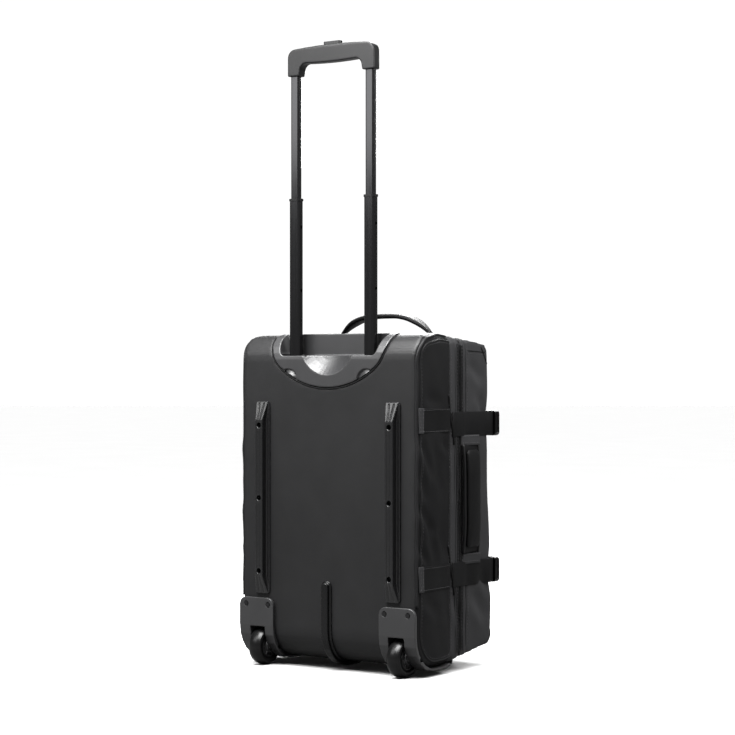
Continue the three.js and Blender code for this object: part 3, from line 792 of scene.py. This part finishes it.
def make_wheel(label, side):
    body = f"wheel_{label}"
    low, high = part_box(f"tyre_{label}")
    centre = (low + high) / 2
    tread = [(29 - 3.6 * (abs(x) / 12) ** 2.4, x) for x in np.linspace(-11, 11, 23)]
    tyre = [(17.5, -10.6), (21, -11.6), (24, -11.8)] + tread + [(24, 11.8), (21, 11.6), (17.5, 10.6)]
    lathe(f"tyre_{label}_turned", centre, tyre, TYRE_RUBBER, body, [f"tyre_{label}"])
    hub = rounded_profile([
        (4.4, -12, 0.5), (8.4, -12, 1), (9.6, -8.4, 1), (13.4, -8.4, 1), (15.2, -10.4, 0.8),
        (17.2, -10.4, 0.5), (17.2, 10.4, 0.5), (15.2, 10.4, 0.8), (13.4, 8.4, 1), (9.6, 8.4, 1),
        (8.4, 12, 1), (4.4, 12, 0.5)])
    lathe(f"wheel_hub_{label}_turned", centre, hub, GREY_PLASTIC, body, [f"wheel_hub_{label}"])
    for number in range(6):
        turn = math.tau * number / 6
        for face in (-1, 1):
            out = Vector((0, math.cos(turn), math.sin(turn)))
            path = [centre + (Vector((face * 8.6, 0, 0)) + out * r) * MM for r in (8.6, 10.4, 12.4, 14.2)]
            normals = [Vector((face, 0, 0))] * 4
            name = f"hub_rib_{label}_{'in' if face * side < 0 else 'out'}_{number + 1}"
            sweep(name, path, normals, band(2.2, 1.8), GREY_PLASTIC, body)


# ---- Seams, piping and zip ----

def gusset_edge(inset, low_z, end=GUSSET_END):
    """The rear side panel's outline moved in by inset, from its top seam round to low_z."""
    route = [(end, TOP_BACK + 1.5 - inset), (65, TOP_BACK + 4.6 - inset)]
    route += arc(BACK_CORNER, TOP_BACK - BACK_CORNER, BACK_CORNER - inset, 90, 180)
    if low_z > BOTTOM + BASE_CORNER:
        return dense(route + [(inset, low_z)])
    route += arc(BASE_CORNER, BOTTOM + BASE_CORNER, BASE_CORNER - inset, 180, 270)
    return dense(route + [(75, BOTTOM + inset), (end, BOTTOM + 3.5 + inset)])


def arc(ahead, z, radius, first_turn, last_turn):
    """Points on an arc. Turn 90 is up and turn 180 is towards the back panel."""
    turns = [math.radians(first_turn + (last_turn - first_turn) * i / 12) for i in range(13)]
    return [(ahead + radius * math.cos(turn), z + radius * math.sin(turn)) for turn in turns]


def stitch_row(name, points, normals, body, length_mm=3.2, gap_mm=2.0, width_mm=0.9, lift_mm=0.25):
    """Single stitches along a path, joined into one piece."""
    corners, faces = [], []
    travelled, start = 0.0, None
    pitch = (length_mm + gap_mm) * MM
    for before, after, normal in zip(points, points[1:], normals):
        step = (after - before).length
        along = (after - before) / step
        across = normal.cross(along).normalized()
        place = (pitch - travelled % pitch) % pitch
        while place < step:
            middle = before + along * place + normal * lift_mm * MM
            half, wide = along * length_mm / 2 * MM, across * width_mm / 2 * MM
            rise = normal * 0.35 * MM
            first = len(corners)
            corners += [middle - half, middle - half * 0.6 + wide, middle + half * 0.6 + wide,
                        middle + half, middle + half * 0.6 - wide, middle - half * 0.6 - wide,
                        middle - half * 0.5 + rise, middle + half * 0.5 + rise,
                        middle - rise * 2]
            top, tail, base = first + 6, first + 7, first + 8
            faces += [(first, first + 1, top), (first + 1, first + 2, tail, top),
                      (first + 2, first + 3, tail), (first + 3, first + 4, tail),
                      (first + 4, first + 5, top, tail), (first + 5, first, top)]
            faces += [(first + (i + 1) % 6, first + i, base) for i in range(6)]
            place += pitch
        travelled += step
    return mesh_piece(name, corners, faces, THREAD, body)


def make_side_trim(label, side):
    edge = on_side(side, gusset_edge(3.2, 107), 0.2, "rear")
    sweep(f"edge_piping_{label}", *edge, circle(2.3, 12), PIPING, "rear")
    inner = on_side(side, gusset_edge(10.5, BOTTOM), -0.2, "rear")
    sweep(f"gusset_piping_{label}", *inner, circle(1.5), PIPING, "rear")
    stitches = on_side(side, gusset_edge(14, BOTTOM), 0, "rear")
    stitch_row(f"gusset_stitches_{label}", *stitches, "rear", width_mm=0.7)


def make_seams():
    for name, ahead, body in (("gusset", GUSSET_END, "rear"), ("lid", LID_SEAM, "lid")):
        # A near-black cord sunk into each seam: painted shade in the seam's groove.
        sweep(f"{name}_seam", *ring(ahead, *SEAM_TURNS, -0.5, body), circle(1.1, 8), SEAM_SHADE, body)
        for offset, row in ((-3.4, "rear"), (3.4, "front")):
            path = ring(ahead + offset, *SEAM_TURNS, 0, body)
            stitch_row(f"{name}_seam_stitches_{row}", *path, body, width_mm=0.6)


def make_zip():
    for body, way in (("rear", -1), ("lid", 1)):
        tape_middle, teeth, fold = (SPLIT + way * gap for gap in (6.2, 1.7, 10.6))
        tape = ring(tape_middle, *ZIP_TURNS, 0.35, body)
        sweep(f"zip_tape_{body}", *tape, band(8.6, 0.9), WEBBING, body)
        welt = ring(fold, *ZIP_TURNS, 0.3, body)
        sweep(f"zip_welt_{body}", *welt, circle(1.4), BAND_NYLON, body)
        stitch_row(f"zip_stitches_{body}", *ring(tape_middle, *ZIP_TURNS, 0.9, body), body, width_mm=0.6)
        make_teeth(f"zip_teeth_{body}", *ring(teeth, *ZIP_TURNS, 0.9, body, step_mm=2.4), body)


def make_teeth(name, points, normals, body):
    """A row of small moulded zip teeth, joined into one piece."""
    corners, faces = [], []
    for before, place, after, normal in zip(points, points[1:], points[2:], normals[1:]):
        along = (after - before).normalized() * 0.62 * MM
        across = normal.cross(along).normalized() * 1.35 * MM
        up = normal * 0.9 * MM
        first = len(corners)
        corners += [place + a * along + b * across + c * up for c, scale in ((-1, 1), (1, 0.7))
                    for a, b in ((-scale, -1), (scale, -1), (scale, 1), (-scale, 1))]
        faces += [tuple(first + i for i in face) for face in
                  ((0, 3, 2, 1), (4, 5, 6, 7), (0, 1, 5, 4), (1, 2, 6, 5), (2, 3, 7, 6), (3, 0, 4, 7))]
    return mesh_piece(name, corners, faces, BLACK_PLASTIC, body)


def make_hinge_strip():
    """The fabric that joins the lid to the rear half down the left side."""
    points, normals = ring(SPLIT - 2, *HINGE_TURNS, 0.5, "rear")
    rows = np.linspace(-11, 15, 27)
    corners = []
    for place, normal in zip(points, normals):
        for row in rows:
            raised = 1.2 - 0.9 * abs(row - 2) / 13
            corners.append(place + normal * raised * MM - Vector((0, row * MM, 0)))
    faces = grid_faces(len(points), len(rows))
    piece = mesh_piece("hinge_strip", corners, faces, BAND_NYLON, None)
    thicken(piece, 0.9, 0)
    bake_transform(piece)


# ---- Straps and buckles ----

def make_sewn_strap(label, side, level):
    """The part of a compression strap that is stitched to the rear side panel."""
    z = SEWN_STRAP_HEIGHTS[level]
    name = f"{level}_{label}"
    route = dense([(6, z), (GUSSET_END - 1, z)], 3)
    sweep(f"sewn_strap_{name}", *on_side(side, route, 1.1), band(STRAP_WIDTH, 1.8), WEBBING, "rear")
    tab = dense([(5, z), (16, z)], 2)
    sweep(f"strap_tab_{name}", *on_side(side, tab, 2.5), band(38, 1.6), BAND_NYLON, "rear")
    for ahead in (8, 13.5):
        row = dense([(ahead, z - 16), (ahead, z + 16)], 3)
        stitch_row(f"tab_stitches_{name}_{ahead:.0f}", *on_side(side, row, 3.4), "rear", width_mm=0.7)
    for offset in (-16, 16):
        row = dense([(18, z + offset), (88, z + offset)], 3)
        where = "low" if offset < 0 else "high"
        stitch_row(f"strap_stitches_{name}_{where}", *on_side(side, row, 2.1), "rear", width_mm=0.7)


def plan_curve(side, body, z, route, lift):
    """A strap's route in plan: (ahead, gap to the fabric), closed on the side's surface."""
    points, _ = on_side(side, [(ahead, z) for ahead, _ in route], lift, body)
    return [place + Vector((side * gap * MM, 0, 0)) for place, (_, gap) in zip(points, route)]


def strap_normals(points, side):
    result = []
    for i, place in enumerate(points):
        along = (points[min(i + 1, len(points) - 1)] - points[max(i - 1, 0)]).normalized()
        result.append(Vector((0, 0, 1)).cross(along) * (1 if side < 0 else -1))
    return result


def make_free_strap(label, side, level):
    """The strap from the rear half over the zip, round the lid's corner and to its buckle."""
    z = STRAP_HEIGHTS[level]
    body = f"strap_{level}" if side < 0 else "lid"
    start = 97 if side < 0 else 129
    # The strap lifts off the fabric towards the corner.
    gaps = [(start + 3 * i, 1.4 + 5.0 * max(0, (start + 3 * i - 168) / 32) ** 2)
            for i in range((200 - start) // 3)]
    points = plan_curve(side, None, z, gaps, 0)
    outer = side * (HALF + 7.4)
    turn = [at(outer, 203, z), at(outer - side * 0.6, 208, z), at(outer - side * 3, 213, z),
            at(outer - side * 7, 216, z), at(outer - side * 13, 217, z), at(side * (HALF - 16), 217, z)]
    path = smoothed(points + turn, 4)
    name = f"{level}_{label}"
    node = f"strap_{name}"
    sweep(f"free_strap_{name}", path, strap_normals(path, side), band(STRAP_WIDTH, 1.9), WEBBING,
          body, replaced=[node])
    tab, out = on_front([(side * x, z) for x in range(106, 74, -3)], 0.9)
    sweep(f"lid_strap_{name}", tab, out, band(STRAP_WIDTH, 1.9), WEBBING, "lid")
    if side < 0:
        # A near-black cord where the free strap leaves the seam: painted shade in that gap.
        shadow_line, out = on_side(side, dense([(88, z + 44), (103, z - 31)], 3), 0.6, "rear")
        sweep(f"strap_shadow_line_{name}", shadow_line, out, circle(1.6, 8), SEAM_SHADE, "rear")


# ---- Padded pieces ----

def subdivided(piece):
    piece.modifiers.new("fine", "SUBSURF").levels = 1
    return applied(piece)


def puff(piece, voxel_mm, pressure, cap_mm, hold=None):
    """Blows a plain closed form up as cloth, and moves no point further than the cap."""
    remesh = piece.modifiers.new("even", "REMESH")
    remesh.mode = "VOXEL"
    remesh.voxel_size = voxel_mm * MM
    applied(piece)
    rest = coordinates(piece)
    cloth = piece.modifiers.new("cloth", "CLOTH")
    cloth.settings.use_pressure = True
    cloth.settings.uniform_pressure_force = pressure
    cloth.settings.effector_weights.gravity = 0
    cloth.point_cache.frame_end = 20
    for number in range(1, 21):
        bpy.context.scene.frame_set(number)
    applied(piece)
    bpy.context.scene.frame_set(1)
    moved = coordinates(piece) - rest
    length = np.maximum(np.linalg.norm(moved, axis=1), 1e-9)
    moved *= np.minimum(1, cap_mm * MM / length)[:, None]
    if hold:
        moved *= hold(rest)[:, None]
    set_coordinates(piece, rest + moved)
    subdivided(piece)
    shade_smooth(piece.data)
    return piece


def prism_mesh(name, outline, back, front):
    """A closed form from an outline in (x, z), between two distances ahead of the back."""
    count = len(outline)
    points = [at(x, ahead, z) for ahead in (back, front) for x, z in outline]
    faces = [tuple(range(count)), tuple(range(2 * count - 1, count - 1, -1))]
    faces += [(i, i + count, (i + 1) % count + count, (i + 1) % count) for i in range(count)]
    mesh = bpy.data.meshes.new(name)
    mesh.from_pydata([tuple(point) for point in points], [], faces)
    face_outward(mesh)
    return new_object(name, mesh)


def rounded_rectangle(low_x, low_z, high_x, high_z, radius):
    outline = []
    centres = [(high_x, high_z, 0), (low_x, high_z, 90), (low_x, low_z, 180), (high_x, low_z, 270)]
    for x, z, first_turn in centres:
        inward_x = -radius if x == high_x else radius
        inward_z = -radius if z == high_z else radius
        for i in range(7):
            turn = math.radians(first_turn + 15 * i)
            outline.append((x + inward_x + radius * math.cos(turn), z + inward_z + radius * math.sin(turn)))
    return outline


def make_pocket(name, low_x, low_z, high_x, high_z):
    """A padded pocket on the lid's front with an edge piping and a zip with its pull."""
    outline = rounded_rectangle(low_x, low_z, high_x, high_z, 16)
    pad = prism_mesh(f"pocket_{name}", outline, DEPTH - 1, DEPTH + 4)

    def hold(points):
        return ramp((BACK - points[:, 1]) / MM, DEPTH + 0.5, DEPTH + 3.5)

    puff(pad, 5, 4, 4.5, hold)
    points = coordinates(pad)
    surface = [SURFACES["lid"].ray_cast(Vector((x, LID_LOW.y - 0.06, z)), Vector((0, 1, 0)))[0]
               for x, _, z in points]
    points[:, 1] += [place.y - (BACK - DEPTH * MM) if place else 0 for place in surface]
    set_coordinates(pad, points)
    finish_piece(pad, BAND_NYLON, "lid")
    edge, normals = on_front(dense(outline + outline[:1], 4), 0.6)
    sweep(f"pocket_piping_{name}", edge[:-1], normals[:-1], circle(1.9), PIPING, "lid", closed=True)
    tree = surface_of(pad)
    zip_line = []
    for x in np.arange(low_x + 16, high_x - 15, 3.0):
        place, normal, _, _ = tree.ray_cast(at(x, DEPTH + 60, high_z - 16), Vector((0, 1, 0)))
        zip_line.append((place, normal))
    points = smoothed([place + normal * 0.4 * MM for place, normal in zip_line], 2)
    normals = smoothed([normal for _, normal in zip_line], 4)
    sweep(f"pocket_zip_tape_{name}", points, normals, band(13, 1.0), WEBBING, "lid")
    raised = [point + normal * 0.7 * MM for point, normal in zip(points, normals)]
    make_teeth(f"pocket_zip_teeth_{name}", raised, normals, "lid")
    end, up = points[-4], normals[-4]
    pull = [end + up * (2 + 0.2 * i) * MM + Vector((0, 0, -2.2 * i * MM)) for i in range(9)]
    sweep(f"pocket_zip_pull_{name}", pull, [up] * 9, band(5, 1.6), ZIP_METAL, "lid")


# ---- Handles ----

def make_top_handle():
    """A webbing carry handle that stands in an arch, narrow at its sewn feet."""
    low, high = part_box("top_handle")
    middle = (low.y + high.y) / 2
    base, rise, half = low.z / MM + 0.6, (high.z - low.z) / MM - 4.2, 93
    path, normals, scales = [], [], []
    for t in np.linspace(-1, 1, 61):
        path.append(Vector((half * t * MM, middle, (base + rise * (1 - abs(t) ** 3)) * MM)))
        flare = float(ramp(1 - abs(t), 0.02, 0.42))
        scales.append((0.26 + 0.74 * flare, 0.6 + 0.4 * flare))
    for i, place in enumerate(path):
        along = (path[min(i + 1, 60)] - path[max(i - 1, 0)]).normalized()
        normals.append(along.cross(Vector((0, 1, 0))))
    sweep("top_handle_webbing", path, normals, band(28, 6.4), WEBBING, "top_handle",
          replaced=["top_handle"], scales=scales)
    for offset in (-10.5, 10.5):
        row = [place + Vector((0, offset * MM * scale, 0)) + normal * 3.2 * scale_up * MM
               for place, normal, (scale, scale_up) in zip(path, normals, scales)][8:-8]
        where = "front" if offset < 0 else "rear"
        stitch_row(f"top_handle_stitches_{where}", row, normals[8:-8], "top_handle", width_mm=0.7)
    for label, side in SIDES:
        route = [(side * x, BACK / MM - middle / MM) for x in range(88, 120, 3)]
        hits = [SURFACES["lid"].ray_cast(at(x, ahead, 600), Vector((0, 0, -1)))[:2] for x, ahead in route]
        points = smoothed([place + normal * 1.1 * MM for place, normal in hits])
        up = smoothed([normal for _, normal in hits], 3)
        sweep(f"top_handle_tab_{label}", points, up, band(29, 2), WEBBING, "lid")
        for number in (1, len(points) - 2):
            row = [points[number] + up[number] * 1.2 * MM + Vector((0, y * MM, 0))
                   for y in range(-11, 12, 2)]
            stitch_row(f"top_handle_bartack_{label}_{number}", row, [up[number]] * len(row), "lid",
                       width_mm=0.8)


def make_side_handle():
    """A padded grip on the lid's seen side, over a wider webbing base with sewn ends."""
    low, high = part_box("side_handle")
    ahead = BACK / MM - (low.y + high.y) / 2 / MM
    z0, z1 = low.z / MM, high.z / MM
    route = [(ahead, z) for z in np.linspace(z0 + 1, z1 - 1, 50)]
    base, normals = on_side(-1, route, 1.2, "lid")
    bow = [4.2 * math.sin(math.pi * i / (len(base) - 1)) ** 0.6 for i in range(len(base))]
    outward = Vector((-1, 0, 0))
    base = [place + outward * gap * MM for place, gap in zip(base, bow)]
    sweep("side_handle_base", base, [outward] * len(base), band(46, 2.0), WEBBING, "side_handle",
          replaced=["side_handle"])
    for offset in (-21, 21):
        edge = [place + outward * 1.4 * MM + Vector((0, offset * MM, 0)) for place in base]
        where = "front" if offset < 0 else "rear"
        sweep(f"side_handle_rim_{where}", edge, [outward] * len(edge), circle(1.5), PIPING, "side_handle")
    outline = rounded_rectangle(-19, z0 + 9, 19, z1 - 9, 8)
    pad = prism_mesh("side_handle_pad", outline, 0, 6)
    puff(pad, 4, 4, 3.0)
    points = coordinates(pad)
    heights = np.array([place.z for place in base])
    skins = np.array([place.x for place in base])
    turned = np.empty_like(points)
    turned[:, 0] = np.interp(points[:, 2], heights, skins) - (BACK - points[:, 1]) - 0.6 * MM
    turned[:, 1] = BACK - ahead * MM + points[:, 0]
    turned[:, 2] = points[:, 2]
    set_coordinates(pad, turned)
    finish_piece(pad, WEBBING, "side_handle")
    for place, start, end in (("top", z1 - 3, z1 + 15), ("foot", z0 - 15, z0 + 3)):
        tab = on_side(-1, [(ahead, z) for z in np.arange(start, end, 2.0)], 2.2, "lid")
        sweep(f"side_handle_tab_{place}", *tab, band(48, 2.2), BAND_NYLON, "lid")
        for number, z in enumerate((start + 4, end - 4)):
            row = on_side(-1, dense([(ahead - 21, z), (ahead + 21, z)], 3), 3.5, "lid")
            stitch_row(f"side_handle_stitches_{place}_{number + 1}", *row, "lid", width_mm=0.8)


# ---- Buckles ----

def buckle_shape(low, high, kind):
    """Sinks the buckle's panel, and its outer end inside a rim."""
    def shape(points):
        x, y, z = (points[:, axis] / MM for axis in range(3))
        x0, x1, z0, z1 = low.x / MM, high.x / MM, low.z / MM, high.z / MM
        y0, y1 = low.y / MM, high.y / MM
        inside = ramp(x, x0 + 4, x0 + 6) * ramp(-x, -x1 + 4, -x1 + 6)
        inside *= ramp(z, z0 + 6, z0 + 8) * ramp(-z, -z1 + 6, -z1 + 8)
        ribs = 0.5 + 0.5 * np.cos((x - x0) * (1.3 if kind == "female" else 0.9))
        moved = points.copy()
        moved[:, 1] += inside * ramp(-y, -y0 - 1.5, -y0 - 0.3) * (0.5 + 0.9 * ribs) * MM
        outer = 1 if x1 > 0 else -1
        end = max(abs(x0), abs(x1))
        rim = ramp(z, z0 + 3, z0 + 5) * ramp(-z, -z1 + 3, -z1 + 5)
        rim *= ramp(y, y0 + 2.2, y0 + 3.6) * ramp(-y, -y1 + 2.2, -y1 + 3.6)
        sink = 2.2 if kind == "male" else 0
        moved[:, 0] -= outer * rim * ramp(np.abs(x), end - 1.6, end - 0.4) * sink * MM
        return moved
    return shape


def make_buckles():
    for label, side in SIDES:
        for level in STRAP_HEIGHTS:
            for kind in ("male", "female"):
                node = f"buckle_{kind}_{level}_{label}"
                low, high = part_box(node)
                softened(node, 0.9, 5, BUCKLE_PLASTIC, BODY_OF[node], buckle_shape(low, high, kind))


# ---- Small trim, and near-black cords of painted shade ----

def patch(name, source, body, test, material, lift_mm=0.3, thickness_mm=1.4):
    """A piece that follows the shell wherever the test of (x, ahead, z, whether left) holds."""
    mesh = source.data
    chosen = []
    for polygon in mesh.polygons:
        centre = polygon.center
        if test(abs(centre.x) / MM, (BACK - centre.y) / MM, centre.z / MM, centre.x > 0) \
                and polygon.material_index != LINING_FACE:
            chosen.append(polygon)
    used = sorted({index for polygon in chosen for index in polygon.vertices})
    place = {index: number for number, index in enumerate(used)}
    points = [mesh.vertices[i].co + mesh.vertices[i].normal * lift_mm * MM for i in used]
    faces = [tuple(place[index] for index in polygon.vertices) for polygon in chosen]
    piece = mesh_piece(name, points, faces, material, body)
    thicken(piece, thickness_mm, 1, smoothing=3)


def make_corner_guards():
    for label, side in SIDES:
        def low_corner(x, ahead, z, left):
            return left == (side > 0) and x > HALF - 26 and (DEPTH - ahead) + (z - BOTTOM - 6) < 34

        patch(f"corner_guard_{label}", LID, "lid", low_corner, BLACK_PLASTIC, 0.2, 1.8)


def make_lid_corner_seams():
    for label, side in SIDES:
        # A near-black cord sunk into the lid's corner seam: painted shade in its groove.
        level = on_side(side, dense([(LID_SEAM + 5, 488), (192, 486)]), -0.2, "lid")
        sweep(f"lid_corner_seam_{label}", *level, circle(1.0, 8), SEAM_SHADE, "lid")
        row = on_side(side, dense([(LID_SEAM + 6, 484), (190, 482)]), 0, "lid")
        stitch_row(f"lid_corner_stitches_{label}", *row, "lid", width_mm=0.6)
        # A near-black diagonal cord across the lid's top corner: painted shade of a fold.
        slant = on_side(side, dense([(180, 494), (198, 468)], 3), 0, "lid")
        sweep(f"lid_corner_fold_shade_{label}", *slant, circle(1.3, 8), SEAM_SHADE, "lid")


def tray_edge(outset):
    """The tray's outline in (x, z), moved out, from one cheek's top to the other's."""
    radius = 140 + outset
    half = [(x, 571.9 - math.sqrt(radius ** 2 - x ** 2)) for x in range(0, 92, 6)]
    half += [(97.5 + outset, 472), (103 + outset, 484), (107 + outset, 495), (110 + outset, 508)]
    return [(-x, z) for x, z in reversed(half[1:])] + half


def make_tray_edge_shade():
    # A near-black cord round the tray's outline: painted shade in the groove between the fabric and the
    # tray.
    points, normals = [], []
    for x, z in dense(tray_edge(2.2), 4):
        place, normal, _, _ = SURFACES["rear"].ray_cast(at(x, -60, z), Vector((0, -1, 0)))
        points.append(place)
        normals.append(normal)
    sweep("tray_edge_shade", smoothed(points, 3), smoothed(normals, 5), circle(1.5), SEAM_SHADE, "rear")


# ---- Inside ----

def make_rear_lining():
    """A lining sheet drawn over the trolley's sleeves, the tray and the wheel blocks."""
    xs, zs = np.linspace(-152, 152, 77), np.linspace(30, 496, 117)
    points = []
    for z in zs:
        for x in xs:
            bulge = 26.3 + 17 * float(ramp(z, 414, 436)) * (1 - float(ramp(abs(x), 112, 128)))
            bulge = max(bulge, 26.3 + 31 * (1 - float(ramp(z, 70, 78))) * float(ramp(abs(x), 96, 104)))
            bulge += 0.6 * math.sin(x * 0.05) * math.sin(z * 0.043)
            points.append(at(x, bulge, z))
    piece = mesh_piece("rear_lining", points, grid_faces(len(zs), len(xs)), LINING, "rear")
    thicken(piece, 0.6, -1)
    for number, z in enumerate((150, 330)):
        path = [at(x, 31 + 4 * math.cos(x / 152 * math.pi / 2), z) for x in range(-156, 157, 6)]
        sweep(f"packing_strap_{number + 1}", path, [Vector((0, -1, 0))] * len(path), band(24, 1.6),
              WEBBING, "rear")
        clasp = rounded_rectangle(-20, z - 16, 20, z + 16, 5)
        piece = prism_mesh(f"packing_clasp_{number + 1}", clasp, 33.5, 40)
        finish_piece(piece, BUCKLE_PLASTIC, "rear")
        bevel(piece, 1.4)


# ---- Assembly ----

make_camera()
make_studio()
make_moulded_parts()
dress_nodes()
make_buckles()
for label, side in SIDES:
    make_wheel(label, side)
    make_side_trim(label, side)
    for level in STRAP_HEIGHTS:
        make_sewn_strap(label, side, level)
        make_free_strap(label, side, level)
make_seams()
make_zip()
make_hinge_strip()
make_tray_edge_shade()
make_lid_corner_seams()
make_corner_guards()
make_top_handle()
make_side_handle()
for pocket, edges in POCKETS.items():
    make_pocket(pocket, *edges)
make_rear_lining()
